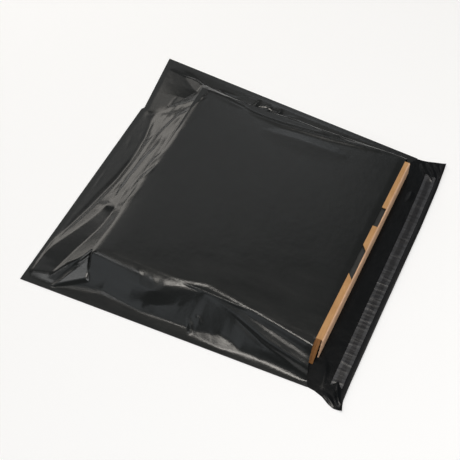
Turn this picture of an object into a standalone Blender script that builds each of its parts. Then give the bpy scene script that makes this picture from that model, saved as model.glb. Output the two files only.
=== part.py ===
"""Black poly mailer bag with a flat corrugated carton in it: its mouth open and its closing lip laid out flat.

X runs along the bag from the closed end to the lip, Y across it from the near side to the far side, and Z up.
The back film lies on Z = 0, and the origin is under the middle of the whole bag.
"""
import bmesh
import bpy
import numpy as np

MM = 0.001

# Bag film
FILM = 0.5 * MM
BAG_LENGTH = 455 * MM
CLOSED_WIDTH = 430.4 * MM
MOUTH_WIDTH = 393.6 * MM
LIP_LENGTH = 52 * MM
SEAM_WIDTH = 7 * MM
CLOSED_BOW = 8 * MM
TUCK_FROM_SIDE = 104 * MM
TUCK_STEP = 3 * MM

# Flat margin of the closed bag, between its edges and the foot of the raised film
NEAR_MARGIN = 20 * MM
FAR_MARGIN = 10 * MM
CLOSED_MARGIN = 23 * MM
MARGIN_LIFT = 1.2 * MM

# Film over the carton
CLEARANCE = 0.3 * MM
WALL_COVER = 1.2 * MM
FILM_DOME = 1.6 * MM
MOUTH_SETBACK = 9 * MM
MOUTH_SKEW = 2.5 * MM
SLOPE_ROUNDING = 0.18
FAR_SLOPE_ROUNDING = 0.45
EDGE_BAND = 17 * MM

# Lip, its slanted edge and its drawn-out corners
LIP_SLANT = 8 * MM
LIP_TIP_REACH = 4 * MM
LIP_TIP_WIDTH = 13 * MM
LIP_TIP_LENGTH = 8 * MM
LIP_TIP_ROUNDING = 1 * MM
LIP_NECK_FROM_EDGE = 26 * MM
LIP_NECK_WIDTH = 4 * MM
LIP_FAR_FLARE = 8 * MM
LIP_FAR_NECK_LENGTH = 18 * MM
LIP_FAR_NECK_WIDTH = 2 * MM

# Adhesive and its release liner, side by side with the lip's edge
LINER_WIDTH = 15.5 * MM
LINER_FROM_EDGE = 7 * MM
LINER_FROM_NEAR_SEAM = 15.8 * MM
LINER_FROM_FAR_SEAM = 21.8 * MM
LINER = 0.2 * MM
LINER_NOTCH = 7 * MM
LINER_OVERHANG = 8 * MM
ADHESIVE_WIDTH = 9 * MM
ADHESIVE = 0.2 * MM

# Carton
CARTON_LENGTH = 320 * MM
CARTON_WIDTH = 308 * MM
CARTON_HEIGHT = 24 * MM
CARTON_FROM_MOUTH_SEAM = 3 * MM
CARTON_SHIFT = 12.5 * MM
BOARD = 2 * MM
NEAR_WALL_LEAN = 24 * MM
NEAR_WALL_LEAN_CLOSED = 8 * MM
FAR_WALL_LEAN = 4 * MM
SLOT_DEPTH = 5 * MM
SLOT_REACH = 14 * MM
SQUARE_SLOT = (47.5 * MM, 80.5 * MM)
SKEWED_SLOT = (-43.5 * MM, 5.5 * MM)
SLOT_SKEW = 16 * MM
CORNER_SLIT_DEPTH = 10 * MM
END_WALL_LEAN = 12 * MM

# Cells of the film's grid between its fold lines, and the stations across the lip
ACROSS_CELLS = (1, 3, 9, 3, 14, 4, 5, 1, 1)
ALONG_CELLS = (1, 3, 11, 3, 22)
LIP_CELLS = 8

# Folds in the raised film. Each point of a fold's line is (share along the carton's side from its closed end or
# near side, share out from the carton's edge to the bag's edge); then come the fold's rise and its half width.
NEAR_FOLDS = (
    (((0.48, -0.17), (0.65, -0.02), (0.80, 0.09), (0.97, 0.26)), 2.8 * MM, 5.0 * MM),
    (((0.49, -0.05), (0.62, 0.14), (0.74, 0.35), (0.89, 0.51), (1.0, 0.70)), -2.4 * MM, 6.0 * MM),
    (((0.20, 0.0), (0.37, -0.02), (0.47, -0.14)), 2.0 * MM, 7.0 * MM),
    (((0.22, 0.03), (0.22, 0.33)), 2.2 * MM, 5.0 * MM),
    (((0.40, 0.10), (0.30, 0.40), (0.27, 0.64)), -2.2 * MM, 7.0 * MM),
    (((0.0, 0.80), (0.09, 0.70), (0.26, 0.72), (0.45, 0.69)), 2.4 * MM, 6.0 * MM),
    (((0.50, 0.70), (0.62, 0.72), (0.70, 0.66)), 2.2 * MM, 6.0 * MM),
    (((0.70, 0.76), (0.80, 0.79), (0.93, 0.77), (1.0, 0.85)), 2.2 * MM, 5.0 * MM),
)
FAR_FOLDS = (
    (((-0.16, 0.85), (-0.10, 0.62), (0.02, 0.17), (0.18, -0.14), (0.24, -0.19)), 2.4 * MM, 6.0 * MM),
    (((0.29, -0.07), (0.43, 0.06), (0.52, 0.04), (0.62, -0.07)), 1.8 * MM, 5.0 * MM),
    (((0.24, -0.26), (0.41, -0.34), (0.64, -0.18), (0.76, -0.03), (0.97, 0.25)), 1.8 * MM, 5.0 * MM),
    (((0.23, 0.05), (0.24, 0.80)), 1.8 * MM, 6.0 * MM),
)
CLOSED_FOLDS = (
    (((0.96, -0.15), (0.86, 0.0), (0.81, 0.11), (0.72, 0.22)), 2.2 * MM, 5.0 * MM),
    (((0.82, -0.22), (0.72, -0.09), (0.50, -0.09), (0.32, 0.01), (0.23, 0.06)), 2.2 * MM, 6.0 * MM),
    (((0.24, 0.60), (0.23, 0.06)), -1.6 * MM, 5.0 * MM),
    (((0.20, 0.32), (0.10, 0.47), (0.0, 0.66), (-0.10, 0.84)), 2.6 * MM, 6.0 * MM),
    (((0.12, 0.39), (-0.03, 0.50), (-0.18, 0.62)), -3.0 * MM, 7.0 * MM),
    (((0.08, 0.14), (-0.08, 0.28), (-0.17, 0.42)), 3.0 * MM, 6.0 * MM),
    (((-0.02, 0.08), (-0.13, 0.28), (-0.20, 0.42)), -2.0 * MM, 6.0 * MM),
    (((0.80, 0.63), (0.86, 0.47), (0.91, 0.08), (0.96, -0.10)), 2.2 * MM, 6.0 * MM),
)

# Length at each end of a fold, as a share of its line, over which it rises to its full height
FOLD_TAPER = 0.12
FOLD_END_RISE = 0.25
HIP_ROUNDING = 0.22
MOUTH_EDGE_BEND = 2.0
NORMAL_STEP = 0.5 * MM

# Lines worked out from the sizes above
CLOSED_X = -BAG_LENGTH / 2
LIP_X = BAG_LENGTH / 2 - LIP_TIP_REACH
SEAM_END_X = BAG_LENGTH / 2 - LIP_LENGTH
CARTON_END_X = SEAM_END_X - CARTON_FROM_MOUTH_SEAM
CARTON_START_X = CARTON_END_X - CARTON_LENGTH
CARTON_NEAR_Y = CARTON_SHIFT - CARTON_WIDTH / 2
CARTON_FAR_Y = CARTON_SHIFT + CARTON_WIDTH / 2
CARTON_BASE_Z = FILM + CLEARANCE
CARTON_TOP_Z = CARTON_BASE_Z + CARTON_HEIGHT
FILM_TOP_Z = CARTON_TOP_Z + CLEARANCE + FILM
SEAM_TOP_Z = 2 * FILM


def half_width(x):
    """Half the bag's width at x, drawn in towards the mouth by the carton."""
    share = (x - CLOSED_X) / (SEAM_END_X - CLOSED_X)
    return (CLOSED_WIDTH + (MOUTH_WIDTH - CLOSED_WIDTH) * share) / 2


def closed_edge_x(y):
    """The closed end's edge: bowed in towards a small tuck near the far corner."""
    tuck_y = CLOSED_WIDTH / 2 - TUCK_FROM_SIDE
    near_share = (y + CLOSED_WIDTH / 2) / (tuck_y + CLOSED_WIDTH / 2)
    far_share = (CLOSED_WIDTH / 2 - y) / TUCK_FROM_SIDE
    near_part = CLOSED_X + CLOSED_BOW * near_share
    far_part = CLOSED_X + (CLOSED_BOW + TUCK_STEP) * far_share
    return np.where(y < tuck_y, near_part, far_part)


def mouth_edge_x(y):
    """The front film's free edge: straight over the carton, running out to the seams beside it."""
    over = CARTON_END_X - MOUTH_SETBACK + MOUTH_SKEW * (y - CARTON_SHIFT) / CARTON_WIDTH
    half = MOUTH_WIDTH / 2
    near = np.clip((CARTON_NEAR_Y - y) / (CARTON_NEAR_Y + half), 0, 1)
    far = np.clip((y - CARTON_FAR_Y) / (half - CARTON_FAR_Y), 0, 1)
    aside = np.maximum(near, far) ** MOUTH_EDGE_BEND
    return over + (SEAM_END_X - over) * aside


def lip_edge_x(y):
    """The lip's outer edge, slanted so that it is longer on the near side."""
    return LIP_X - LIP_SLANT * (y + MOUTH_WIDTH / 2) / MOUTH_WIDTH


def between(stations, cells):
    """Points from the first station to the last, with equal cells between each two."""
    spans = [np.linspace(a, b, n, endpoint=False) for a, b, n in zip(stations, stations[1:], cells)]
    return np.append(np.concatenate(spans), stations[-1])


def film_grid():
    """Plan positions of the front film's points, as two arrays indexed along and across."""
    nominal = between((CLOSED_X, CLOSED_X + SEAM_WIDTH, CLOSED_X + CLOSED_MARGIN, CARTON_START_X,
                       CARTON_START_X + EDGE_BAND, CARTON_END_X - MOUTH_SETBACK), ALONG_CELLS)
    rows = []
    for x in nominal:
        half = half_width(x)
        rows.append(between((-half, SEAM_WIDTH - half, NEAR_MARGIN - half,
                             CARTON_NEAR_Y, CARTON_NEAR_Y + EDGE_BAND, CARTON_FAR_Y - EDGE_BAND, CARTON_FAR_Y,
                             half - FAR_MARGIN, half - SEAM_WIDTH, half), ACROSS_CELLS))
    y = np.array(rows)
    x = np.empty_like(y)
    for j in range(y.shape[1]):
        start = closed_edge_x(y[0, j])
        stations = (start, start + SEAM_WIDTH, start + CLOSED_MARGIN, CARTON_START_X,
                    CARTON_START_X + EDGE_BAND, mouth_edge_x(y[-1, j]))
        x[:, j] = between(stations, ALONG_CELLS)
    return x, y


def near_place(along, out):
    """Plan position of a fold's point on the near side."""
    x = CARTON_START_X + along * CARTON_LENGTH
    return x, CARTON_NEAR_Y - out * (half_width(x) + CARTON_NEAR_Y)


def far_place(along, out):
    """Plan position of a fold's point on the far side."""
    x = CARTON_START_X + along * CARTON_LENGTH
    return x, CARTON_FAR_Y + out * (half_width(x) - CARTON_FAR_Y)


def closed_place(across, out):
    """Plan position of a fold's point on the closed side."""
    return CARTON_START_X - out * (CARTON_START_X - CLOSED_X), CARTON_NEAR_Y + across * CARTON_WIDTH


def all_folds():
    """Every fold's line in plan, with its rise and its half width."""
    folds = []
    for group, place in ((NEAR_FOLDS, near_place), (FAR_FOLDS, far_place), (CLOSED_FOLDS, closed_place)):
        for points, rise, width in group:
            folds.append(([place(*point) for point in points], rise, width))
    return folds


def distance_to_line(x, y, points):
    """Distance from each point to a drawn line, and its place along the line from 0 to 1."""
    corners = np.array(points)
    steps = np.hypot(*(corners[1:] - corners[:-1]).T)
    starts = np.concatenate(([0.0], np.cumsum(steps)))
    best = np.full(x.shape, np.inf)
    place = np.zeros(x.shape)
    for (ax, ay), (bx, by), step, start in zip(corners, corners[1:], steps, starts):
        along = np.clip(((x - ax) * (bx - ax) + (y - ay) * (by - ay)) / step ** 2, 0, 1)
        away = np.hypot(x - ax - along * (bx - ax), y - ay - along * (by - ay))
        nearer = away < best
        best = np.where(nearer, away, best)
        place = np.where(nearer, (start + along * step) / starts[-1], place)
    return best, place


def rounded(share, rounding):
    """A side's slope from its foot, 0, to the carton's edge, 1, and on inwards, bulging out by the rounding."""
    share = np.maximum(share, 0)
    return share + rounding * np.sin(np.pi * np.minimum(share, 1))


def lower_of(a, b):
    """The lower of two slopes, with the hip between them rounded off."""
    blend = np.maximum(HIP_ROUNDING - np.abs(a - b), 0) / HIP_ROUNDING
    return np.maximum(np.minimum(a, b) - blend ** 2 * HIP_ROUNDING / 4, 0)


def film_height(x, y):
    """Height of the front film's outer face: flat margins, slopes up to the carton's edges, and the folds."""
    half = half_width(x)
    near = (y + half - NEAR_MARGIN) / (CARTON_NEAR_Y + half - NEAR_MARGIN)
    far = (half - FAR_MARGIN - y) / (half - FAR_MARGIN - CARTON_FAR_Y)
    start = closed_edge_x(y) + CLOSED_MARGIN
    closed = (x - start) / (CARTON_START_X - start)
    sides = (rounded(near, SLOPE_ROUNDING), rounded(far, FAR_SLOPE_ROUNDING), rounded(closed, SLOPE_ROUNDING))
    slope = lower_of(lower_of(sides[0], sides[1]), sides[2])
    across_carton = (y > CARTON_NEAR_Y - CLEARANCE) & (y < CARTON_FAR_Y + CLEARANCE)
    over_carton = across_carton & (x > CARTON_START_X - WALL_COVER)
    from_edge = np.minimum(np.minimum(y + half, half - y), x - closed_edge_x(y))
    margin = np.clip((from_edge - SEAM_WIDTH) / (NEAR_MARGIN - SEAM_WIDTH), 0, 1)
    lift = SEAM_TOP_Z + MARGIN_LIFT * margin
    across = np.clip((y - CARTON_NEAR_Y) / CARTON_WIDTH, 0, 1)
    along = np.clip((x - CARTON_START_X) / CARTON_LENGTH, 0, 1)
    dome = FILM_DOME * np.sin(np.pi * across) ** 0.5 * np.sin(np.pi * np.minimum(along, 0.5)) ** 0.5
    height = lift + (FILM_TOP_Z - lift) * np.minimum(slope, 1) + dome
    for points, rise, width in all_folds():
        away, place = distance_to_line(x, y, points)
        ends = np.clip(np.minimum(place, 1 - place) / FOLD_TAPER + FOLD_END_RISE, 0, 1)
        height = height + rise * ends * margin * np.exp(-(away / width) ** 2)
    lean = NEAR_WALL_LEAN_CLOSED + (NEAR_WALL_LEAN - NEAR_WALL_LEAN_CLOSED) * along
    near_wall = CARTON_TOP_Z - (CARTON_NEAR_Y - y) * CARTON_HEIGHT / lean
    far_wall = CARTON_TOP_Z - (y - CARTON_FAR_Y) * CARTON_HEIGHT / FAR_WALL_LEAN
    walls = np.where(x > CARTON_START_X - WALL_COVER, np.minimum(near_wall, far_wall) + WALL_COVER, SEAM_TOP_Z)
    lowest = np.where(over_carton, FILM_TOP_Z, np.minimum(walls, FILM_TOP_Z))
    return np.maximum(np.maximum(height, lowest), SEAM_TOP_Z)


def film_slope(x, y):
    """Steepness of the film's outer face, as the length of its normal over that normal's height."""
    along = (film_height(x + NORMAL_STEP, y) - film_height(x - NORMAL_STEP, y)) / (2 * NORMAL_STEP)
    across = (film_height(x, y + NORMAL_STEP) - film_height(x, y - NORMAL_STEP)) / (2 * NORMAL_STEP)
    return np.sqrt(1 + along ** 2 + across ** 2)


def lip_outline():
    """The lip's free outline in plan, from the near seam's end to the far seam's end."""
    half = MOUTH_WIDTH / 2
    near_corner = lip_edge_x(-half)
    points = [(near_corner - LIP_NECK_FROM_EDGE, -half - LIP_NECK_WIDTH),
              (near_corner - LIP_TIP_LENGTH, -half - LIP_TIP_WIDTH),
              (BAG_LENGTH / 2, -half - LIP_TIP_WIDTH + LIP_TIP_ROUNDING),
              (near_corner, -half + LIP_TIP_ROUNDING)]
    for k in range(1, LIP_CELLS):
        y = -half + MOUTH_WIDTH * k / LIP_CELLS
        points.append((lip_edge_x(y), y))
    points.append((lip_edge_x(half) - LIP_TIP_ROUNDING, half + LIP_FAR_FLARE))
    points.append((SEAM_END_X + LIP_FAR_NECK_LENGTH, half + LIP_FAR_NECK_WIDTH))
    return points


def add_object(name, mesh, colour, roughness, metallic=0.0):
    """An object of one physical piece, with its own material."""
    material = bpy.data.materials.new(name + "_material")
    material.use_nodes = True
    shader = material.node_tree.nodes["Principled BSDF"]
    shader.inputs["Base Color"].default_value = (*colour, 1)
    shader.inputs["Roughness"].default_value = roughness
    shader.inputs["Metallic"].default_value = metallic
    mesh.materials.append(material)
    thing = bpy.data.objects.new(name, mesh)
    bpy.context.collection.objects.link(thing)
    return thing


def build_film():
    """The bag: back film with its lip, and front film welded to it along three edges."""
    x, y = film_grid()
    top = film_height(x, y)
    rows, columns = x.shape
    last, side = rows - 1, columns - 1
    top[0, :] = SEAM_TOP_Z
    top[:, 0] = SEAM_TOP_Z
    top[:, side] = SEAM_TOP_Z
    under = np.maximum(top - FILM * film_slope(x, y), FILM)
    under[1, :] = FILM
    under[:, 1] = FILM
    under[:, side - 1] = FILM

    mesh = bmesh.new()

    def point(i, j, z):
        return mesh.verts.new((x[i, j], y[i, j], z))

    outer = [[point(i, j, top[i, j]) for j in range(columns)] for i in range(rows)]
    inner = {(i, j): point(i, j, under[i, j]) for i in range(1, rows) for j in range(1, side)}
    floor_near = point(last, 0, FILM)
    floor_far = point(last, side, FILM)
    ground_near = [point(i, 0, 0) for i in range(rows)]
    ground_far = [point(i, side, 0) for i in range(rows)]
    ground_closed = [ground_near[0]] + [point(0, j, 0) for j in range(1, side)] + [ground_far[0]]
    lip = lip_outline()
    lip_top = [mesh.verts.new((px, py, FILM)) for px, py in lip]
    lip_ground = [mesh.verts.new((px, py, 0)) for px, py in lip]

    face = mesh.faces.new
    for i in range(last):
        for j in range(side):
            face((outer[i][j], outer[i + 1][j], outer[i + 1][j + 1], outer[i][j + 1]))
    for i in range(1, last):
        for j in range(1, side - 1):
            face((inner[i, j], inner[i, j + 1], inner[i + 1, j + 1], inner[i + 1, j]))

    # Inside face of the back film, from the closed weld to the mouth, and on over the lip
    closed_weld = [inner[1, j] for j in range(1, side)]
    face((inner[2, 1], inner[2, side - 1], *reversed(closed_weld)))
    for i in range(2, last):
        face((inner[i, 1], inner[i + 1, 1], inner[i + 1, side - 1], inner[i, side - 1]))
    face((inner[last, 1], floor_near, *lip_top, floor_far, inner[last, side - 1]))

    # Underside, which the bag lies on
    face((ground_near[1], *ground_closed, ground_far[1]))
    for i in range(1, last):
        face((ground_near[i + 1], ground_near[i], ground_far[i], ground_far[i + 1]))
    face((ground_near[last], ground_far[last], *reversed(lip_ground)))

    # Edges: the mouth's cut edge, the closed end, both sides and the lip
    face((outer[last][0], floor_near, inner[last, 1], outer[last][1]))
    for j in range(1, side - 1):
        face((outer[last][j], inner[last, j], inner[last, j + 1], outer[last][j + 1]))
    face((outer[last][side - 1], inner[last, side - 1], floor_far, outer[last][side]))
    for j in range(side):
        face((ground_closed[j], outer[0][j], outer[0][j + 1], ground_closed[j + 1]))
    for i in range(last - 1):
        face((outer[i][0], ground_near[i], ground_near[i + 1], outer[i + 1][0]))
        face((ground_far[i], outer[i][side], outer[i + 1][side], ground_far[i + 1]))
    face((outer[last - 1][0], ground_near[last - 1], ground_near[last], floor_near, outer[last][0]))
    face((ground_far[last - 1], outer[last - 1][side], outer[last][side], floor_far, ground_far[last]))
    tops = [floor_near, *lip_top, floor_far]
    grounds = [ground_near[last], *lip_ground, ground_far[last]]
    for k in range(len(tops) - 1):
        face((tops[k], grounds[k], grounds[k + 1], tops[k + 1]))

    bmesh.ops.recalc_face_normals(mesh, faces=mesh.faces)
    data = bpy.data.meshes.new("bag_film")
    mesh.to_mesh(data)
    mesh.free()
    data.shade_smooth()
    return add_object("bag_film", data, (0.018, 0.019, 0.019), 0.28)


def prism(name, outline, low, high):
    """A mesh with a plan outline and flat faces at two heights."""
    mesh = bmesh.new()
    ring = [mesh.verts.new((px, py, low)) for px, py in outline]
    base = mesh.faces.new(ring)
    grown = bmesh.ops.extrude_face_region(mesh, geom=[base])["geom"]
    raised = [part for part in grown if isinstance(part, bmesh.types.BMVert)]
    bmesh.ops.translate(mesh, verts=raised, vec=(0, 0, high - low))
    bmesh.ops.recalc_face_normals(mesh, faces=mesh.faces)
    data = bpy.data.meshes.new(name)
    mesh.to_mesh(data)
    mesh.free()
    return data


def strip_outline(width, inset, notch=0.0):
    """Plan outline of a strip that runs along the lip, parallel with its edge, ending short of each seam."""
    outline = []
    middle = LINER_FROM_EDGE + LINER_WIDTH / 2
    near_y = -MOUTH_WIDTH / 2 + LINER_FROM_NEAR_SEAM + inset
    far_y = MOUTH_WIDTH / 2 - LINER_FROM_FAR_SEAM - inset
    outline.append((lip_edge_x(near_y) - middle + width / 2, near_y))
    outline.append((lip_edge_x(far_y) - middle + width / 2, far_y))
    outline.append((lip_edge_x(far_y) - middle - width / 2, far_y))
    outline.append((lip_edge_x(near_y) - middle - width / 2, near_y))
    if notch:
        outline.append((lip_edge_x(near_y) - middle, near_y + notch))
    return outline


def build_adhesive():
    """The band of adhesive on the lip."""
    low = FILM + CLEARANCE
    data = prism("adhesive_strip", strip_outline(ADHESIVE_WIDTH, LINER_OVERHANG), low, low + ADHESIVE)
    return add_object("adhesive_strip", data, (0.05, 0.05, 0.052), 0.5)


def build_liner():
    """The release liner over the adhesive, cut to a swallow-tail at its near end."""
    low = FILM + CLEARANCE + ADHESIVE + CLEARANCE
    outline = strip_outline(LINER_WIDTH, 0.0, LINER_NOTCH)
    return add_object("release_liner", prism("release_liner", outline, low, low + LINER), (0.2, 0.2, 0.21), 0.35)


def cut(target, cutter_mesh):
    """Cuts a guide solid out of a piece."""
    cutter = bpy.data.objects.new(cutter_mesh.name, cutter_mesh)
    bpy.context.collection.objects.link(cutter)
    cutter.hide_render = True
    cutter.display_type = "WIRE"
    modifier = target.modifiers.new(cutter_mesh.name, "BOOLEAN")
    modifier.operation = "DIFFERENCE"
    modifier.solver = "EXACT"
    modifier.object = cutter


def slot_outline(low_y, high_y, skew):
    """Plan outline of a tab slot in the lid, behind the end wall; its back is moved sideways by the skew."""
    front = CARTON_END_X - BOARD
    back = front - SLOT_REACH
    return [(back, low_y + skew), (front, low_y), (front, high_y), (back, high_y + skew)]


def corner_slit():
    """The wedge between the end wall's near edge and the raw edge of the leaning side wall."""
    base = CARTON_BASE_Z - CLEARANCE
    apex = CARTON_TOP_Z - BOARD
    fall = (CARTON_TOP_Z - base) / CARTON_HEIGHT
    wall_foot = CARTON_NEAR_Y - NEAR_WALL_LEAN * fall + BOARD
    end_foot = CARTON_NEAR_Y - END_WALL_LEAN * fall
    tip = CARTON_NEAR_Y + BOARD / 2
    mesh = bmesh.new()
    rings = []
    for x in (CARTON_END_X - CORNER_SLIT_DEPTH, CARTON_END_X + CORNER_SLIT_DEPTH):
        rings.append([mesh.verts.new((x, py, pz)) for py, pz in ((tip, apex), (wall_foot, base), (end_foot, base))])
    mesh.faces.new(rings[0])
    mesh.faces.new(rings[1])
    for k in range(3):
        mesh.faces.new((rings[0][k], rings[0][(k + 1) % 3], rings[1][(k + 1) % 3], rings[1][k]))
    bmesh.ops.recalc_face_normals(mesh, faces=mesh.faces)
    data = bpy.data.meshes.new("corner_slit")
    mesh.to_mesh(data)
    mesh.free()
    return data


def build_carton():
    """The closed flat carton, whose near side wall leans out, with two tab slots along its end fold."""
    mesh = bmesh.new()
    rings = []
    for x, lean in ((CARTON_START_X, NEAR_WALL_LEAN_CLOSED), (CARTON_END_X, NEAR_WALL_LEAN)):
        section = ((CARTON_NEAR_Y - lean, CARTON_BASE_Z), (CARTON_NEAR_Y, CARTON_TOP_Z),
                   (CARTON_FAR_Y, CARTON_TOP_Z), (CARTON_FAR_Y + FAR_WALL_LEAN, CARTON_BASE_Z))
        rings.append([mesh.verts.new((x, py, pz)) for py, pz in section])
    mesh.faces.new(rings[0])
    mesh.faces.new(rings[1])
    for k in range(4):
        mesh.faces.new((rings[0][k], rings[0][(k + 1) % 4], rings[1][(k + 1) % 4], rings[1][k]))
    bmesh.ops.recalc_face_normals(mesh, faces=mesh.faces)
    data = bpy.data.meshes.new("carton")
    mesh.to_mesh(data)
    mesh.free()
    carton = add_object("carton", data, (0.50, 0.27, 0.10), 0.85)
    for name, ends, skew in (("square_slot", SQUARE_SLOT, 0.0), ("skewed_slot", SKEWED_SLOT, SLOT_SKEW)):
        outline = slot_outline(*ends, skew)
        cut(carton, prism(name, outline, CARTON_TOP_Z - SLOT_DEPTH, CARTON_TOP_Z + BOARD))
    cut(carton, corner_slit())
    return carton


def main():
    for thing in list(bpy.data.objects):
        bpy.data.objects.remove(thing)
    build_film()
    build_adhesive()
    build_liner()
    build_carton()


main()
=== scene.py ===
"""Looks of the black mailing bag with a flat carton in it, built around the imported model.

Plan sizes and heights are in millimetres, and become metres where a mesh is made. Lamps are given in metres.
X runs along the bag from its closed end to its lip, Y across it from the near side to the far side, and Z up.
"""

import math
import random

import bpy
import numpy as np
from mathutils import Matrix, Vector


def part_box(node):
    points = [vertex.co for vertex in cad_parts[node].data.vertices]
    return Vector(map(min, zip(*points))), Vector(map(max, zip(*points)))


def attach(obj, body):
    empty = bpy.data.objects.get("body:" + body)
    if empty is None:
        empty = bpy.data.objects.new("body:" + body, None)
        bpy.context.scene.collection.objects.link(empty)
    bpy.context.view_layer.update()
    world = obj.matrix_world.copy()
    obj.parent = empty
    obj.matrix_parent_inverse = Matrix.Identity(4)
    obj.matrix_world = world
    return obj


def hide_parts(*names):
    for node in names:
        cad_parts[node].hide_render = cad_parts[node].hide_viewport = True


MM = 0.001

# SIZES, in millimetres

# Camera, fitted to the photograph, with angles in degrees
CAMERA_PLACE = (363.1, -811.9, 1290.8)
CAMERA_HEADING = -25.5
CAMERA_DIP = 56.0
CAMERA_LENS = 90.0
CAMERA_SENSOR = 36.0

# Bag in plan: half widths, welded seam, and the closed edge's bow with its small tuck
CLOSED_HALF = 215.2
MOUTH_HALF = 196.8
SEAM = 7.0
CLOSED_BOW = 8.0
TUCK_Y = 111.2
TUCK_STEP = 3.0
TUCK_GAP = 0.1
NEAR_MARGIN = 20.0
FAR_MARGIN = 10.0
CLOSED_MARGIN = 23.0
MOUTH_SETBACK = 9.0
MOUTH_SKEW = 2.5

# Film: sheet thickness, heights of its lying parts, and how it clears the carton
SHEET = 0.16
SEAM_TOP = 0.8
BACK_TOP = 0.4
FILM_OVER_CARTON = 0.8
LEAST_COVER = 0.4
CARTON_CLEARANCE = 0.5
CARTON_START_CLEARANCE = 1.0
FRONT_FILM_LOWEST = 0.46
SHEET_LOWEST = 0.02

# Flat top: a slight dome, a shoulder that swells behind the closed end and fades, and a droop at the mouth
DOME = 0.9
DOME_END_POWER = 0.6
DOME_SIDE_POWER = 0.5
SHOULDER = 2.4
SHOULDER_WIDTH = 13.0
SHOULDER_POWER = 1.5
SHOULDER_FADE = 90.0
MOUTH_DROOP = 0.7
MOUTH_DROOP_WIDTH = 9.0
MOUTH_DROOP_POWER = 1.5

# How the sides' strips are rounded where they meet each other, the next side and the flat top
SECTION_STEP = 0.9
SECTION_WEIGHTS = (1, 2, 3, 2, 1)
LEAST_STRIP = 0.4
RISE_BEYOND = 0.8
HIP_BLEND = 2.0
TOP_BLEND = 3.0
MARGIN_GAIN = 1.4
RIM_ANGLE = 60.0

# Lip: the width over which it comes free of the floor, its waves, and its curled edge
LIP_CURL = 2.2
LIP_FREE_WIDTH = 12.0
LIP_WAVE = 0.35
LIP_WAVE_ACROSS = 31.0
LIP_WAVE_PHASE = 1.2
LIP_WAVE_ALONG = 17.0
LIP_CURL_WIDTH = 9.0

# Cells of the film's meshes, from the closed end to the mouth and from the near seam to the far one
FRONT_CELLS_ALONG = (5, 12, 44, 30, 134)
FRONT_CELLS_ACROSS = (5, 10, 36, 14, 62, 24, 22, 3, 4)
CLOSED_BAND = 42.0
NEAR_BAND = 21.0
FAR_BAND = 36.0
BACK_CELLS_ACROSS = 240
BACK_ROWS = 40
LIP_ROWS = 37
LIP_CORNER_POWER = 6

# Carton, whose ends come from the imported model
NEAR_WALL_LEAN = 24.0
NEAR_WALL_LEAN_CLOSED = 8.0
FAR_WALL_LEAN = 4.0
BOARD = 2.0
SQUARE_SLOT = (47.5, 80.5)
SKEWED_SLOT = (-43.5, 5.5)
SLOT_SKEW = 16.0
SLOT_REACH = 14.0
SLOT_DEPTH = 4.0
SIDE_STRIPS = 24
CORNER_SLIT = 3.2
END_WALL_LEAN = 12.0
FOLD_RADIUS = 2.0
FOLD_STEPS = 5
SIDE_BELOW_LID = 0.15
# Place of the dark block under the lid's slots, whose colour is painted shade of the carton's inside
SHADE_BLOCK_FROM_START = 6.0
SHADE_BLOCK_FROM_SIDES = 3.0
SHADE_BLOCK_FROM_WALL = 0.4
SHADE_BLOCK_ABOVE_BASE = 0.3
LID_BEVEL = 0.25
WALL_BEVEL = 0.2
SHADE_BLOCK_BEVEL = 1.0

# Lines that run along each side of the film, from its seam up to the flat top. The near and far ones are
# (x, y, z) and the closed end's are (y, x, z).
NEAR_FOOT_LINE = (
    (-230, -205, 1.0), (-174, -203, 1.1), (-121, -191, 1.2), (-61, -192.5, 1.1), (-20, -189, 1.1),
    (4, -187.5, 1.1), (14, -193, 1.1), (54, -194.5, 1.1), (78, -191, 1.1), (110, -189, 1.1),
    (148, -190, 1.1), (176, -192, 1.0),
)
NEAR_LEDGE_LINE = (
    (-230, -202, 1.6), (-174, -198, 2.1), (-121, -184, 2.7), (-90, -187, 2.1), (-61, -189.5, 1.8),
    (-20, -186.5, 1.7), (4, -185.5, 1.6), (14, -187, 2.4), (26, -183.5, 3.2), (47, -178.5, 4.4),
    (66, -182, 3.4), (78, -186.5, 2.1), (110, -184.5, 2.1), (148, -185, 2.2), (176, -188, 1.9),
)
NEAR_SPREAD_LINE = (
    (-230, -173, 10.2), (-147, -172.5, 10.4), (-110, -173.5, 10.6), (-84, -179, 8.8), (-64, -179.5, 7.4),
    (-46, -178, 6.5), (-18, -166, 13.0), (0, -152, 19.5), (8, -144, 23.0), (30, -149, 20.5),
    (60, -156, 15.8), (110, -172, 11.6), (163, -182, 8.6), (178, -184.5, 7.0),
)
NEAR_BREAK_LINE = (
    (-230, -161, 18.3), (-147, -161, 18.3), (-110, -163, 18.0), (-84, -166, 18.4), (-60, -167, 19.2),
    (-46, -164, 20.6), (-24, -153, 23.2), (-2, -144, 24.6), (8, -141, 24.9), (30, -145.5, 22.8),
    (60, -152.5, 19.6), (110, -168.5, 16.2), (163, -178.5, 14.6), (178, -181, 13.6),
)
NEAR_FOLD_LINE = (
    (-230, -151, 24.5), (-147, -151, 24.5), (-110, -153, 24.2), (-84, -152, 24.6), (-46, -150, 24.9),
    (-24, -144, 25.2), (-2, -136.5, 25.6), (8, -135, 25.4), (30, -139, 24.6), (60, -144, 22.6),
    (110, -152.5, 20.6), (163, -162.5, 19.0), (178, -165, 18.0),
)
NEAR_TOP_LINE = (
    (-230, -143, 28.0), (-84, -143, 28.0), (-40, -139.5, 28.0), (-2, -132.5, 27.2), (8, -131.5, 26.6),
    (60, -139.5, 26.2), (110, -146.5, 25.8), (163, -156, 25.0), (178, -158, 24.8),
)
FAR_FOOT_LINE = (
    (-230, 199, 1.0), (-150, 190, 2.5), (-70, 178, 3.4), (60, 177, 3.6), (178, 178, 3.4),
)
FAR_BREAK_LINE = (
    (-230, 197, 1.6), (-170, 187, 8.0), (-130, 175, 18.0), (-58, 168, 22.6), (-10, 171, 22.8),
    (54, 172, 23.2), (132, 173, 23.8), (178, 174.5, 23.4),
)
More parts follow.
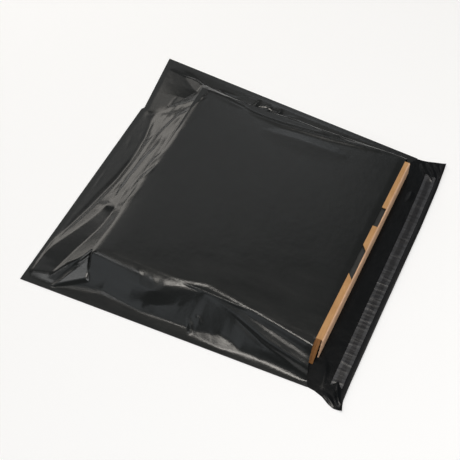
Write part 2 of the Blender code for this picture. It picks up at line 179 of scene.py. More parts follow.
FAR_TOP_LINE = (
    (-230, 190, 12.0), (-142, 165, 25.0), (-70, 156.5, 25.9), (-17, 153, 25.9), (57, 160, 25.9),
    (95, 165.5, 25.6), (132, 170, 25.2), (178, 172.5, 24.8),
)
CLOSED_FOOT_LINE = (
    (-215, -223, 1.4), (-151, -221, 1.4), (-113, -210.5, 1.6), (-76, -202, 1.8), (-49, -197, 2.0),
    (-18, -191, 2.0), (12, -189, 2.0), (62, -190, 2.0), (93, -195, 2.0), (106, -196, 2.2),
    (130, -184, 4.5), (150, -168, 8.0), (170, -158, 8.0), (215, -150, 8.0),
)
CLOSED_CREST_LINE = (
    (-215, -226, 1.5), (-172, -220, 2.4), (-150, -212, 4.8), (-125, -199, 8.0), (-100, -187, 11.2),
    (-69, -176, 13.5), (-50, -180, 9.9), (0, -175, 10.2), (62, -175, 10.2), (106, -179, 10.3),
    (130, -169, 11.8), (150, -158, 14), (170, -149, 14.5), (215, -143, 14.5),
)
CLOSED_BENCH_LINE = (
    (-215, -200, 2.6), (-182, -192, 4.2), (-150, -182, 8.6), (-125, -173, 12.0), (-107, -167, 13.8),
    (-85, -164, 15.0), (-50, -163, 18.1), (0, -161, 18.3), (62, -160.5, 18.3), (106, -162, 18.4),
    (130, -154, 19), (150, -148, 20), (170, -140, 20.5), (215, -136, 20.5),
)
CLOSED_TOP_LINE = (
    (-215, -150, 26.5), (-100, -147, 26.5), (60, -145, 26.5), (150, -138, 26.5), (215, -130, 26.5),
)

# Lip outline in plan as (x, y): near and far edges from the seams outwards, outer edge from near to far
LIP_NEAR = (
    (175.5, -196.8), (186.0, -198.0), (197.6, -201.5), (208.0, -207.5), (216.1, -210.4), (227.3, -209.6),
)
LIP_FAR = (
    (175.5, 196.8), (183.0, 197.4), (190.5, 198.8), (199.0, 201.4), (207.0, 203.6), (215.1, 204.6),
)
LIP_EDGE = (
    (227.3, -209.6), (225.0, -203.0), (223.5, -196.5), (222.6, -171.5), (221.4, -66.3), (220.8, 26.2),
    (220.4, 88.3), (218.5, 157.9), (216.4, 190.0), (215.1, 204.6),
)

# Adhesive and liner on the lip, with the liner's notched near end and the ripples across it
LINER_WIDTH = 15.5
LINER_FROM_EDGE = 7.0
LINER_NEAR_Y = -181.0
LINER_FAR_Y = 175.0
LINER_NOTCH = 7.0
LINER_SHEET = 0.12
ADHESIVE_WIDTH = 9.0
ADHESIVE_INSET = 8.0
ADHESIVE_THICK = 0.25
LINER_RIDE = 0.5
ADHESIVE_RIDE = 0.3
STRIP_COLUMNS = 17
STRIP_STEP = 1.0
STRIP_WAVE = 0.05
STRIP_WAVE_LENGTH = 5.3
STRIP_WAVE_ACROSS = 9
NOTCH_TAPER = 2.4
NOTCH_LENGTH = 20
RIPPLE_WIDTH = 1.6
RIPPLES_FROM_NEAR = 6
RIPPLES_FROM_FAR = 4
RIPPLE_HEIGHT = (0.05, 0.28)
RIPPLE_LEAN = 2.5
RIPPLE_GAPS = (2.5, 3.5, 5.0, 8.0, 14.0)
RIPPLE_GAP_SPREAD = (0.7, 1.3)

# CREASES

# A crease is (line in plan, rise, width of its left flank, width of its right flank). Left and right are seen
# along the line in plan, so the left flank of a line that runs towards +Y lies on the -X side.
CLOSED_CREASES = (
    (((-132, 150), (-141, 135), (-147, 121), (-156, 105), (-166, 79), (-170, 62)), 1.2, 14, 6),
    (((-128, 116), (-134, 96), (-140, 79), (-139, 62), (-141, 37), (-141, 12), (-147, -13), (-149, -43),
      (-153, -69)), 1.0, 18, 6),
    (((-144, 39), (-154, 5)), 1.1, 6, 4),
    (((-141, 14), (-151, -16)), 1.1, 5, 4),
    (((-160, 52), (-166, 20), (-170, -12), (-172, -52)), 1.3, 8, 6),
    (((-178, 66), (-181, 30), (-182, -4), (-186, -40)), 1.1, 6, 5),
    (((-199, -67), (-186, -69), (-174, -68), (-151, -69.5)), 1.6, 5, 9),
    (((-156.4, -147), (-163, -162), (-174, -182), (-186, -207)), -1.0, 4, 3),
    (((-200, 104), (-185, 122), (-170, 131), (-154, 139), (-136, 154)), 1.3, 12, 9),
    (((-216, 106), (-206, 105.5), (-196, 105.5)), 1.3, 3, 5),
    (((-212, -10), (-213, -28), (-212, -47)), 0.6, 3, 3),
    (((-199, 100), (-193, 88), (-188, 62), (-186, 29), (-188, 10), (-191, -18), (-198, -50), (-203, -78),
      (-211, -112), (-221, -150)), -1.6, 8, 6),
)
NEAR_CREASES = (
    (((40, -150), (64, -158), (101, -171), (144, -180), (186, -188)), -1.1, 3, 5),
    (((60, -147), (110, -159), (170, -171)), 0.18, 5, 4),
    (((-86, -146), (-82, -154), (-76, -165)), 0.6, 7, 6),
    (((-66, -148), (-60, -155), (-52, -166)), 0.35, 7, 7),
    (((4, -140), (-20, -152), (-42, -164), (-62, -188)), -1.2, 12, 8),
    (((0, -176), (7, -184), (11, -196)), 1.8, 5, 3),
    (((8, -170), (20, -176)), 1.0, 4, 4),
)
FAR_CREASES = (
    (((-204, 211), (-192, 206), (-180, 195.5), (-160, 183), (-142, 174), (-117, 167), (-90, 160.5),
      (-70, 158.5)), 2.4, 9, 12),
    (((-58, 163.5), (-30, 167.5), (-10, 169), (20, 168), (54, 163)), 1.8, 5, 7),
    (((-70, 156), (-55, 152), (-17, 152.5), (20, 156), (57, 160), (95, 165.5), (132, 170.5),
      (163, 174)), 1.8, 6, 8),
    (((-76, 160), (-72, 180), (-68, 206)), 3.0, 4, 4),
    (((-52, 164), (-47, 184), (-44, 206)), -1.4, 5, 5),
    (((-36, 168), (-34, 186), (-33, 206)), 2.4, 3.5, 3.5),
    (((-74, 184), (-56, 192), (-37, 188)), 1.8, 3.5, 3.5),
    (((60, 166), (68, 182), (72, 200)), 1.0, 6, 5),
    (((98, 170), (106, 184), (108, 198)), 0.9, 5, 5),
    (((-150, 180), (-128, 188), (-104, 190)), 1.2, 5, 5),
    (((6, 172), (28, 180), (58, 183)), 1.0, 5, 5),
    (((112, 172), (136, 180), (160, 184)), 1.2, 5, 5),
    (((-34, 132), (-5, 135), (12, 137), (40, 137.5), (90, 138)), 0.9, 13, 24),
)
LIP_CREASES = (
    (((182, 190), (196, 176), (207, 168)), 2.2, 4, 3),
    (((190, 196), (203, 184), (212, 170)), 2.4, 4, 4),
    (((199, 200), (208, 190), (217, 178)), 2.4, 3, 3),
    (((180, -150), (188, -168), (192, -190)), 0.8, 6, 6),
    (((208, -178), (214, -192), (222, -205)), 2.6, 4, 4),
    (((196, -196), (206, -200), (216, -208)), 1.0, 4, 3),
    (((186, 120), (189, 128), (188, 140)), 0.5, 5, 5),
    (((178, -20), (183, -60), (181, -110)), 0.3, 9, 9),
)

# Profile of every crease: rounding of its line, reach of its flanks, and how it fades at its ends
PEAK_ROUNDING = 0.10
CREASE_REACH = 2
CREASE_END = 0.01
CREASE_END_POWER = 0.6
CREASE_END_WIDTH = 0.25
CREASE_POWER = 1.25

# Flat facets of taut film: outlines of (x, y, height), in order round each facet
FACETS = (
    ((-156.4, -148.7, 16.2), (-185, -208, 1.9), (-144, -182, 9.2)),
)
FACET_EDGE = 4.0

# Small creases scattered at random: zone in plan (x0, x1, y0, y1), heading in degrees, spread, how many
SMALL_CREASES = (
    ((-190, -145, -60, 130), 82, 10, 60),
    ((-205, -150, -120, 130), 90, 20, 16),
    ((-130, 150, -190, -160), 2, 16, 10),
    ((-120, 150, 178, 200), -2, 12, 10),
)
SMALL_LENGTH = (9, 34)
SMALL_RISE = (0.08, 0.34)
SMALL_WIDTH = (2.0, 5.0)
SMALL_BEND = 25
SMALL_SIGNS = (1, 1, -1)
SEED = 41

# FRAME AND CAMERA

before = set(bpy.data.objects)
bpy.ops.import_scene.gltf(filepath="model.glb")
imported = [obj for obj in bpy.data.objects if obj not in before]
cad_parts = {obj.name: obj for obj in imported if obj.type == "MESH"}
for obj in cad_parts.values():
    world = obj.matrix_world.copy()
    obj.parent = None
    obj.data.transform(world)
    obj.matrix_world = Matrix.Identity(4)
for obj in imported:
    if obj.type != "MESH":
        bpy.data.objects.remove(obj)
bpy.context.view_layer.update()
random.seed(SEED)


def make_camera():
    """The camera of the photograph."""
    heading = math.radians(CAMERA_HEADING)
    dip = math.radians(CAMERA_DIP)
    forward = Vector((math.sin(heading) * math.cos(dip), math.cos(heading) * math.cos(dip), -math.sin(dip)))
    data = bpy.data.cameras.new("camera")
    data.lens = CAMERA_LENS
    data.sensor_width = CAMERA_SENSOR
    camera = bpy.data.objects.new("camera", data)
    camera.location = Vector(CAMERA_PLACE) * MM
    camera.rotation_euler = forward.to_track_quat("-Z", "Y").to_euler()
    bpy.context.collection.objects.link(camera)
    bpy.context.scene.camera = camera


make_camera()

carton_low, carton_high = (np.array(corner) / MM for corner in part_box("carton"))
CLOSED_X = np.array(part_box("bag_film")[0])[0] / MM
CARTON_START_X = carton_low[0]
CARTON_END_X = carton_high[0]
CARTON_NEAR_Y = carton_low[1] + NEAR_WALL_LEAN
CARTON_FAR_Y = carton_high[1] - FAR_WALL_LEAN
CARTON_BASE = carton_low[2]
CARTON_TOP = carton_high[2]
CARTON_WIDTH = CARTON_FAR_Y - CARTON_NEAR_Y
CARTON_LENGTH = CARTON_END_X - CARTON_START_X
SEAM_END_X = CARTON_END_X + 3.0
FILM_TOP = CARTON_TOP + FILM_OVER_CARTON


# FORM OF THE FILM

def half_width(x):
    """Half the bag's width at x, drawn in towards the mouth by the carton."""
    share = (x - CLOSED_X) / (SEAM_END_X - CLOSED_X)
    return CLOSED_HALF + (MOUTH_HALF - CLOSED_HALF) * share


def closed_edge_x(y):
    """The closed end's edge: bowed in towards a small tuck near the far corner."""
    near_share = (y + CLOSED_HALF) / (TUCK_Y + CLOSED_HALF)
    far_share = (CLOSED_HALF - y) / (CLOSED_HALF - TUCK_Y)
    near_x = CLOSED_X + CLOSED_BOW * near_share
    far_x = CLOSED_X + (CLOSED_BOW + TUCK_STEP) * far_share
    return np.where(y < TUCK_Y, near_x, far_x)


def mouth_edge_x(y):
    """The front film's free edge: nearly straight over the carton, running out to the seams beside it."""
    over = CARTON_END_X - MOUTH_SETBACK + MOUTH_SKEW * y / CARTON_WIDTH
    near = np.clip((CARTON_NEAR_Y - y) / (CARTON_NEAR_Y + MOUTH_HALF), 0, 1)
    far = np.clip((y - CARTON_FAR_Y) / (MOUTH_HALF - CARTON_FAR_Y), 0, 1)
    return over + (SEAM_END_X - over) * np.maximum(near, far) ** 2


def section_height(along, across, lines, turned):
    """Height of one side: straight between its lines, and rising on beyond the last of them."""
    placed = []
    for line in lines:
        place, out, height = zip(*line)
        out = np.array(out) * (-1 if turned else 1)
        placed.append((np.interp(along, place, out), np.interp(along, place, height)))
    total = placed[0][1].copy()
    for (low_out, low_z), (high_out, high_z) in zip(placed, placed[1:]):
        width = np.maximum(high_out - low_out, LEAST_STRIP)
        total += (high_z - low_z) * np.clip((across - low_out) / width, 0, 1)
    return total + RISE_BEYOND * np.maximum(across - placed[-1][0], 0)


def side_height(along, across, seam_line, lines, turned=False):
    """One side's height, with the folds between its strips a little rounded."""
    lines = (seam_line,) + lines
    total = 0
    middle = len(SECTION_WEIGHTS) // 2
    for step, weight in enumerate(SECTION_WEIGHTS, -middle):
        height = section_height(along, across + step * SECTION_STEP, lines, turned)
        total = total + weight / sum(SECTION_WEIGHTS) * height
    return total


def lesser(a, b, blend):
    """The lower of two heights, with the fold where they meet rounded."""
    return np.minimum(a, b) - np.maximum(blend - np.abs(a - b), 0) ** 2 / (4 * blend)


def film_sides(x, y):
    """The film's form without its creases: three sides that meet in hips, under a flat top."""
    ends = (CLOSED_X, SEAM_END_X)
    near_seam = tuple((place, SEAM - half_width(place), SEAM_TOP) for place in ends)
    far_seam = tuple((place, half_width(place) - SEAM, SEAM_TOP) for place in ends)
    closed_seam = tuple((place, float(closed_edge_x(np.array(place))) + SEAM, SEAM_TOP)
                        for place in (-CLOSED_HALF, TUCK_Y - TUCK_GAP, TUCK_Y, CLOSED_HALF))
    near = side_height(x, y, near_seam, (NEAR_FOOT_LINE, NEAR_LEDGE_LINE, NEAR_SPREAD_LINE, NEAR_BREAK_LINE,
                                        NEAR_FOLD_LINE, NEAR_TOP_LINE))
    far = side_height(x, -y, far_seam, (FAR_FOOT_LINE, FAR_BREAK_LINE, FAR_TOP_LINE), turned=True)
    closed = side_height(y, x, closed_seam, (CLOSED_FOOT_LINE, CLOSED_CREST_LINE, CLOSED_BENCH_LINE,
                                              CLOSED_TOP_LINE))
    across = np.clip((y - CARTON_NEAR_Y) / CARTON_WIDTH, 0, 1)
    along = np.clip((x - CARTON_START_X) / CARTON_LENGTH, 0, 1)
    inside = np.maximum(x - CARTON_START_X, 0)
    swell = SHOULDER * (1 - np.exp(-(inside / SHOULDER_WIDTH) ** SHOULDER_POWER))
    shoulder = swell * np.exp(-inside / SHOULDER_FADE)
    dome = DOME * np.sin(np.pi * along) ** DOME_END_POWER + shoulder
    dome = dome * np.sin(np.pi * across) ** DOME_SIDE_POWER
    return lesser(lesser(lesser(near, closed, HIP_BLEND), far, HIP_BLEND), FILM_TOP, TOP_BLEND) + dome


def eased(value):
    """Smooth step from 0 to 1."""
    value = np.clip(value, 0, 1)
    return value * value * (3 - 2 * value)


def crease_height(x, y, creases):
    """Summed rise of a list of creases: each has a sharp line, two flanks and soft ends."""
    total = np.zeros(x.shape)
    for points, rise, left, right in creases:
        corners = np.array(points, float)
        reach = max(left, right) + CREASE_REACH
        low, high = corners.min(axis=0) - reach, corners.max(axis=0) + reach
        close = (x > low[0]) & (x < high[0]) & (y > low[1]) & (y < high[1])
        if not close.any():
            continue
        px, py = x[close], y[close]
        best = np.full(px.shape, np.inf)
        signed = np.zeros(px.shape)
        place = np.zeros(px.shape)
        start = 0.0
        for (ax, ay), (bx, by) in zip(corners, corners[1:]):
            dx, dy = bx - ax, by - ay
            span = math.hypot(dx, dy)
            along = np.clip(((px - ax) * dx + (py - ay) * dy) / span ** 2, 0, 1)
            off_x, off_y = px - ax - along * dx, py - ay - along * dy
            away = np.hypot(off_x, off_y)
            side = dx * off_y - dy * off_x
            nearer = away < best
            best = np.where(nearer, away, best)
            signed = np.where(nearer, side, signed)
            place = np.where(nearer, start + along * span, place)
            start += span
        place = np.clip(place / start, CREASE_END, 1 - CREASE_END)
        ends = np.sin(np.pi * place) ** CREASE_END_POWER
        narrowing = CREASE_END_WIDTH + (1 - CREASE_END_WIDTH) * ends
        share = best / (np.where(signed > 0, left, right) * narrowing)
        tent = 1 - np.sqrt(share ** 2 + PEAK_ROUNDING ** 2) + PEAK_ROUNDING / 2
        total[close] += rise * ends * np.clip(tent, 0, 1) ** CREASE_POWER
    return total


def facet_blend(x, y, height, facets):
    """The height drawn to flat facets of taut film, each a plane through three of its outline's points."""
    for outline in facets:
        corners = np.array(outline, float)
        a, b, c = corners[:3]
        normal = np.cross(b - a, c - a)
        plane = a[2] - (normal[0] * (x - a[0]) + normal[1] * (y - a[1])) / normal[2]
        turn = 1 if normal[2] > 0 else -1
        inside = np.full(x.shape, np.inf)
        for p, q in zip(corners, np.roll(corners, -1, axis=0)):
            dx, dy = q[0] - p[0], q[1] - p[1]
            inside = np.minimum(inside, turn * (dx * (y - p[1]) - dy * (x - p[0])) / math.hypot(dx, dy))
        share = eased(inside / FACET_EDGE + 0.5)
        height = height + (plane - height) * share
    return height


def scattered_creases():
    """Small random creases that follow the slopes."""
    found = []
    for (x0, x1, y0, y1), heading, spread, count in SMALL_CREASES:
        for _ in range(count):
            x, y = random.uniform(x0, x1), random.uniform(y0, y1)
            length = random.uniform(*SMALL_LENGTH)
            angle = math.radians(random.gauss(heading, spread))
            bend = math.radians(random.uniform(-SMALL_BEND, SMALL_BEND))
            middle_x, middle_y = x + length / 2 * math.cos(angle), y + length / 2 * math.sin(angle)
            end_x = middle_x + length / 2 * math.cos(angle + bend)
            end_y = middle_y + length / 2 * math.sin(angle + bend)
            rise = random.uniform(*SMALL_RISE) * random.choice(SMALL_SIGNS)
            found.append((((x, y), (middle_x, middle_y), (end_x, end_y)), rise,
                          random.uniform(*SMALL_WIDTH), random.uniform(*SMALL_WIDTH)))
    return found


FRONT_CREASES = CLOSED_CREASES + NEAR_CREASES + FAR_CREASES + tuple(scattered_creases())


def front_height(x, y):
    """Height of the front film's outer face."""
    half = half_width(x)
    from_edge = np.minimum(half - np.abs(y), x - closed_edge_x(y))
    margin = np.clip((from_edge - SEAM) / (NEAR_MARGIN - SEAM), 0, 1)
    along = np.clip((x - CARTON_START_X) / CARTON_LENGTH, 0, 1)
    height = film_sides(x, y)
    height = facet_blend(x, y, height, FACETS)
    height = height + eased(margin * MARGIN_GAIN) * crease_height(x, y, FRONT_CREASES)
    to_mouth = mouth_edge_x(y) - x
    height = height - MOUTH_DROOP * np.clip(1 - to_mouth / MOUTH_DROOP_WIDTH, 0, 1) ** MOUTH_DROOP_POWER
    between_sides = (y > CARTON_NEAR_Y - CARTON_CLEARANCE) & (y < CARTON_FAR_Y + CARTON_CLEARANCE)
    over = between_sides & (x > CARTON_START_X - CARTON_CLEARANCE)
    lean = NEAR_WALL_LEAN_CLOSED + (NEAR_WALL_LEAN - NEAR_WALL_LEAN_CLOSED) * along
    near_wall = CARTON_TOP - (CARTON_NEAR_Y - y) * (CARTON_TOP - CARTON_BASE) / lean
    far_wall = CARTON_TOP - (y - CARTON_FAR_Y) * (CARTON_TOP - CARTON_BASE) / FAR_WALL_LEAN
    beside = x > CARTON_START_X - CARTON_START_CLEARANCE
    walls = np.where(beside, np.minimum(near_wall, far_wall) + FILM_OVER_CARTON, SEAM_TOP)
    lowest = np.where(over, CARTON_TOP + LEAST_COVER, np.minimum(walls, CARTON_TOP + LEAST_COVER))
    return np.maximum(np.maximum(height, lowest), SEAM_TOP)


def lip_edge_x(y):
    """The lip's outer edge at y."""
    edge_x, edge_y = zip(*LIP_EDGE)
    return np.interp(y, edge_y, edge_x)


def lip_height(x, y):
    """Height of the lip's upper face: flat, with a few creases and a slight curl along its edge."""
    free = np.clip((x - SEAM_END_X) / LIP_FREE_WIDTH, 0, 1)
    across = 1 + np.sin(y / LIP_WAVE_ACROSS + LIP_WAVE_PHASE)
    wave = LIP_WAVE * across * (1 + np.sin(x / LIP_WAVE_ALONG)) / 2
    curl = LIP_CURL * np.clip((x - lip_edge_x(y) + LIP_CURL_WIDTH) / LIP_CURL_WIDTH, 0, 1) ** 2
    return BACK_TOP + free * (wave + curl + np.maximum(crease_height(x, y, LIP_CREASES), 0))


# MESHES

def between(stations, cells):
    """Points from the first station to the last, with equal cells between each two."""
    spans = [np.linspace(a, b, n, endpoint=False) for a, b, n in zip(stations, stations[1:], cells)]
    return np.append(np.concatenate(spans), stations[-1])


def grid_normals(points):
    """Unit normals of a grid of points, facing up."""
    along = np.gradient(points, axis=0)
    across = np.gradient(points, axis=1)
    normal = np.cross(along, across)
    return normal / np.linalg.norm(normal, axis=2, keepdims=True)


def shell_from_grid(name, points, thickness, lowest=SHEET_LOWEST):
    """A closed thin sheet: a grid of points, a second grid below it, and an edge all round."""
    rows, columns = points.shape[:2]
    under = points - grid_normals(points) * thickness
    under[..., 2] = np.maximum(under[..., 2], lowest)
    corners = np.concatenate((points.reshape(-1, 3), under.reshape(-1, 3))) * MM
    index = np.arange(rows * columns).reshape(rows, columns)
    a, b = index[:-1, :-1].ravel(), index[1:, :-1].ravel()
    c, d = index[1:, 1:].ravel(), index[:-1, 1:].ravel()
    shift = rows * columns
    faces = [np.stack((a, b, c, d), 1), np.stack((d, c, b, a), 1) + shift]
    rim = np.concatenate((index[:, 0], index[-1, 1:], index[-2::-1, -1], index[0, -2:0:-1]))
    following = np.roll(rim, -1)
    faces.append(np.stack((following, rim, rim + shift, following + shift), 1))
    quads = np.concatenate(faces)
    mesh = bpy.data.meshes.new(name)
    mesh.from_pydata(corners.tolist(), [], quads.tolist())
    mesh.validate()
    mesh.shade_smooth()
    mesh.set_sharp_from_angle(angle=math.radians(RIM_ANGLE))
    thing = bpy.data.objects.new(name, mesh)
    bpy.context.collection.objects.link(thing)
    return thing


def set_uv(thing, u, v):
    """A UV map from one value of u and of v for each vertex."""
    layer = thing.data.uv_layers.new(name="UVMap")
    loops = np.empty(len(thing.data.loops), dtype=np.int64)
    thing.data.loops.foreach_get("vertex_index", loops)
    layer.data.foreach_set("uv", np.stack((u[loops], v[loops]), 1).astype(np.float32).ravel())


def front_film():
    """The front film, from the closed end to the mouth, welded round its margin."""
    nominal = between((CLOSED_X, CLOSED_X + SEAM, CLOSED_X + CLOSED_MARGIN, CARTON_START_X,
                       CARTON_START_X + CLOSED_BAND, CARTON_END_X - MOUTH_SETBACK), FRONT_CELLS_ALONG)
    rows = []
    for x in nominal:
        half = half_width(x)
        rows.append(between((-half, SEAM - half, NEAR_MARGIN - half, CARTON_NEAR_Y, CARTON_NEAR_Y + NEAR_BAND,
                             CARTON_FAR_Y - FAR_BAND, CARTON_FAR_Y, half - FAR_MARGIN, half - SEAM, half),
                            FRONT_CELLS_ACROSS))
    y = np.array(rows)
    x = np.empty_like(y)
    for j in range(y.shape[1]):
        start = closed_edge_x(y[0, j])
        x[:, j] = between((start, start + SEAM, start + CLOSED_MARGIN, CARTON_START_X,
                           CARTON_START_X + CLOSED_BAND, mouth_edge_x(y[-1, j])), FRONT_CELLS_ALONG)
    z = front_height(x, y)
    return shell_from_grid("front_film", np.stack((x, y, z), 2), SHEET, FRONT_FILM_LOWEST)


def back_film():
    """The back film with the lip, which lies flat on the floor."""
    spread = np.linspace(0, 1, BACK_CELLS_ACROSS + 1)
    rows = []
    for share in np.linspace(0, 1, BACK_ROWS, endpoint=False):
        y = half_width(CLOSED_X + share * (SEAM_END_X - CLOSED_X)) * (2 * spread - 1)
        start = closed_edge_x(y)
        x = start + share * (SEAM_END_X - start)
        rows.append(np.stack((x, y, np.full_like(y, BACK_TOP)), 1))
    near_x, near_y = (np.array(axis) for axis in zip(*LIP_NEAR))
    far_x, far_y = (np.array(axis) for axis in zip(*LIP_FAR))
    steps = np.linspace(0, 1, len(LIP_NEAR))
    for share in np.linspace(0, 1, LIP_ROWS):
        low_y, high_y = np.interp(share, steps, near_y), np.interp(share, steps, far_y)
        y = low_y + (high_y - low_y) * spread
        edge = lip_edge_x(np.interp(spread, (0, 1), (near_y[-1], far_y[-1])))
        near_shift = np.interp(share, steps, near_x) - (SEAM_END_X + share * (near_x[-1] - SEAM_END_X))
        far_shift = np.interp(share, steps, far_x) - (SEAM_END_X + share * (far_x[-1] - SEAM_END_X))
        shift = near_shift * (1 - spread) ** LIP_CORNER_POWER
        shift = shift + far_shift * spread ** LIP_CORNER_POWER
        x = SEAM_END_X + share * (edge - SEAM_END_X) + shift
        rows.append(np.stack((x, y, lip_height(x, y)), 1))
    return shell_from_grid("back_film", np.array(rows), SHEET)


def strip_on_lip(name, width, near_y, far_y, thickness, ride, notch=0.0, ripples=()):
    """A strip that follows the lip's edge, with a map of its width in u and its length in v."""
    middle = LINER_FROM_EDGE + LINER_WIDTH / 2
    across = np.linspace(-0.5, 0.5, STRIP_COLUMNS)
    rows = []
    for y in np.arange(near_y, far_y + STRIP_STEP / 10, STRIP_STEP):
        edge = lip_edge_x(np.array([y]))[0]
        x = edge - middle + across * width
        end_share = np.clip(1 - (y - near_y) / NOTCH_LENGTH, 0, 1)
        back = notch * np.clip(1 - np.abs(across) * NOTCH_TAPER, 0, 1) * end_share
        place_y = np.full_like(x, y) + back
        wave = STRIP_WAVE * np.sin(y / STRIP_WAVE_LENGTH) * np.cos(across * STRIP_WAVE_ACROSS)
        z = lip_height(x, place_y) + ride + wave
        for centre, size, lean in ripples:
            z = z + size * np.exp(-((place_y - centre - lean * across) / RIPPLE_WIDTH) ** 2)
        rows.append(np.stack((x, place_y, z), 1))
    points = np.array(rows)
    strip = shell_from_grid(name, points, thickness)
    u = np.tile(across + 0.5, len(rows))
    v = points[..., 1].ravel() * MM
    set_uv(strip, np.tile(u, 2), np.tile(v, 2))
    return strip


def liner_ripples():
    """Places, heights and leans of the ripples across the liner."""
    found = []
    y = LINER_NEAR_Y + RIPPLES_FROM_NEAR
    while y < LINER_FAR_Y - RIPPLES_FROM_FAR:
        found.append((y, random.uniform(*RIPPLE_HEIGHT), random.uniform(-RIPPLE_LEAN, RIPPLE_LEAN)))
        y += random.choice(RIPPLE_GAPS) * random.uniform(*RIPPLE_GAP_SPREAD)
    return found


def block(x0, x1, y0, y1, low, high):
    """Corners and faces of a plain block."""
    outline = ((x0, y0), (x1, y0), (x1, y1), (x0, y1))
    count = len(outline)
    corners = [(x, y, low) for x, y in outline] + [(x, y, high) for x, y in outline]
    faces = [tuple(reversed(range(count))), tuple(range(count, 2 * count))]
    for k in range(count):
        after = (k + 1) % count
        faces.append((k, after, after + count, k + count))
    return corners, faces


def carton_top_board():
    """The lid's board with its two tab slots."""
    front = CARTON_END_X - BOARD
    back = front - SLOT_REACH
    stations = ((CARTON_NEAR_Y, CARTON_NEAR_Y), (SKEWED_SLOT[0] + SLOT_SKEW, SKEWED_SLOT[0]),
                (SKEWED_SLOT[1] + SLOT_SKEW, SKEWED_SLOT[1]), (SQUARE_SLOT[0], SQUARE_SLOT[0]),
                (SQUARE_SLOT[1], SQUARE_SLOT[1]), (CARTON_FAR_Y, CARTON_FAR_Y))
    columns = (CARTON_START_X, back, front)
    plan = [[(CARTON_START_X, a), (back, a), (front, b)] for a, b in stations]
    corners = [(x, y, z) for z in (CARTON_TOP - BOARD, CARTON_TOP) for row in plan for x, y in row]
    layer = len(plan) * len(columns)
    slots = ((1, 1), (3, 1))
    cells = [(i, j) for i in range(len(plan) - 1) for j in range(len(columns) - 1) if (i, j) not in slots]
    faces = []
    for i, j in cells:
        a = i * len(columns) + j
        b = a + 1
        c, d = b + len(columns), a + len(columns)
        faces.append((a + layer, b + layer, c + layer, d + layer))
        faces.append((d, c, b, a))
        sides = (((a, b), (i - 1, j)), ((b, c), (i, j + 1)), ((c, d), (i + 1, j)), ((d, a), (i, j - 1)))
        for (p, q), other in sides:
            if other not in cells:
                faces.append((p, q, q + layer, p + layer))
    return corners, faces


def swept(section, near, far):
    """A section of (x, z) points swept across the carton; the near end follows near(z)."""
    count = len(section)
    corners = [(x, near(z), z) for x, z in section] + [(x, far, z) for x, z in section]
    faces = [tuple(range(count)), tuple(reversed(range(count, 2 * count)))]
    for k in range(count):
        after = (k + 1) % count
        faces.append((after, k, k + count, after + count))
    return corners, faces


def carton_end_wall():
    """The end wall, folded down from the lid round a soft fold, with its near edge cut at a slant."""
    outer = CARTON_END_X
    inner = CARTON_END_X - BOARD
    section = [(inner, CARTON_BASE), (inner, CARTON_TOP)]
    for k in range(1, FOLD_STEPS + 1):
        angle = math.radians(90 - 90 / FOLD_STEPS * k)
        section.append((outer - FOLD_RADIUS + FOLD_RADIUS * math.cos(angle),
                        CARTON_TOP - FOLD_RADIUS + FOLD_RADIUS * math.sin(angle)))
    section.append((outer, CARTON_BASE))

    def near(z):
        return CARTON_NEAR_Y - END_WALL_LEAN * (CARTON_TOP - z) / (CARTON_TOP - CARTON_BASE)

    return swept(section, near, CARTON_FAR_Y)


def carton_side(near):
    """A leaning side wall, from the lid's edge to its foot, in strips that follow its changing lean."""
    if near:
        edge, leans, out = CARTON_NEAR_Y, (NEAR_WALL_LEAN_CLOSED, NEAR_WALL_LEAN), -1
    else:
        edge, leans, out = CARTON_FAR_Y, (FAR_WALL_LEAN, FAR_WALL_LEAN), 1
    corners = []
    for share in np.linspace(0, 1, SIDE_STRIPS + 1):
        x = CARTON_START_X + share * (CARTON_END_X - CORNER_SLIT - CARTON_START_X)
        lean = leans[0] + share * (leans[1] - leans[0])
        for shift in (0, -out * BOARD):
            corners.append((x, edge + shift, CARTON_TOP - SIDE_BELOW_LID))
            corners.append((x, edge + out * lean + shift, CARTON_BASE))
    faces = [(0, 1, 3, 2)]
    for k in range(0, 4 * SIDE_STRIPS, 4):
        faces += [(k, k + 4, k + 5, k + 1), (k + 2, k + 3, k + 7, k + 6), (k, k + 2, k + 6, k + 4),
                  (k + 1, k + 5, k + 7, k + 3)]
    last = 4 * SIDE_STRIPS
    faces.append((last, last + 2, last + 3, last + 1))
    return corners, faces


def carton_floor_and_back():
    """The carton's base board and its closed end wall."""
    inner = CARTON_END_X - BOARD
    low = block(CARTON_START_X, inner, CARTON_NEAR_Y, CARTON_FAR_Y, CARTON_BASE, CARTON_BASE + BOARD)
    back = block(CARTON_START_X, CARTON_START_X + BOARD, CARTON_NEAR_Y, CARTON_FAR_Y, CARTON_BASE + BOARD,
                 CARTON_TOP - BOARD)
    return low, back


def mesh_object(name, parts, bevel=0.0):
    """One object from several lists of corners and faces."""
    corners, faces = [], []
    for part_corners, part_faces in parts:
        shift = len(corners)
        corners += [(x * MM, y * MM, z * MM) for x, y, z in part_corners]
        faces += [tuple(k + shift for k in face) for face in part_faces]
    mesh = bpy.data.meshes.new(name)
    mesh.from_pydata(corners, [], faces)
    mesh.validate()
    thing = bpy.data.objects.new(name, mesh)
    bpy.context.collection.objects.link(thing)
    if bevel:
        modifier = thing.modifiers.new("soft_edges", "BEVEL")
        modifier.width = bevel * MM
        modifier.segments = 2
        modifier.limit_method = "ANGLE"
    return thing


# MATERIALS

